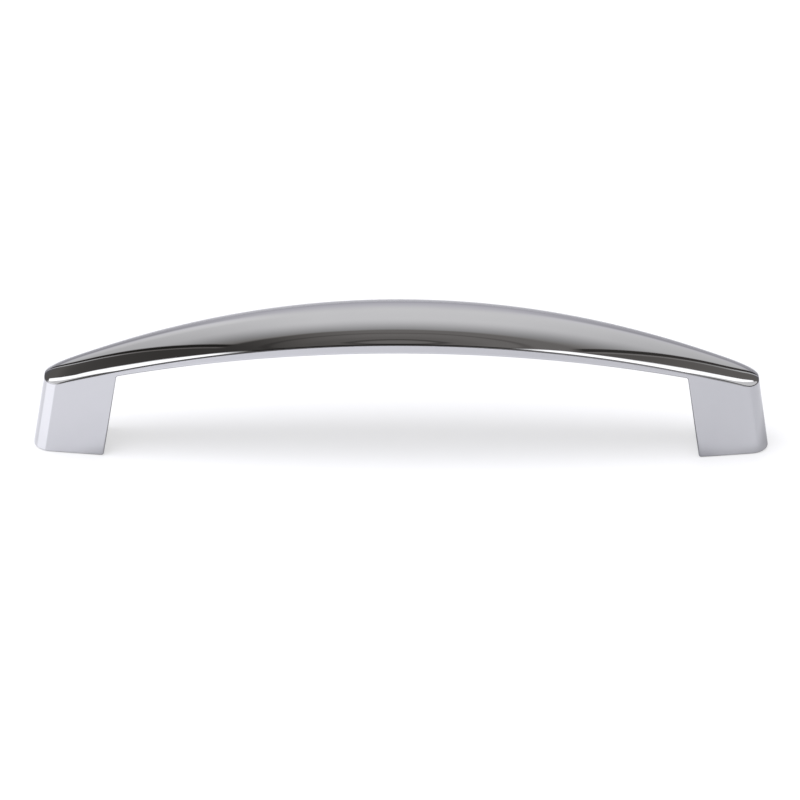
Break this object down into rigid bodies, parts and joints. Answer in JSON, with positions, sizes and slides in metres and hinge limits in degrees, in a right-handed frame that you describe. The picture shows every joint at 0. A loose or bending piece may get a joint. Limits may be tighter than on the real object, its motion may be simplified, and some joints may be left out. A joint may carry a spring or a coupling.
{
  "type": "bow handle",
  "caption": "Arched bow handle for a drawer or cupboard door: a polished chrome grip with a crowned top, widest at the middle, on leaning feet with tapped screw holes.",
  "frame": {"origin": "midway between the feet, on the mounting plane under them", "axes": "+X along the handle, +Z away from the drawer front that it is screwed to, -Y the long side seen in the picture"},
  "size_m": [0.1414, 0.018, 0.0288],
  "materials": {
    "chrome_plate": "polished chrome plate on a zinc casting"
  },
  "bodies": {
    "root": {"handle": "chrome_plate"}
  },
  "joints": []
}
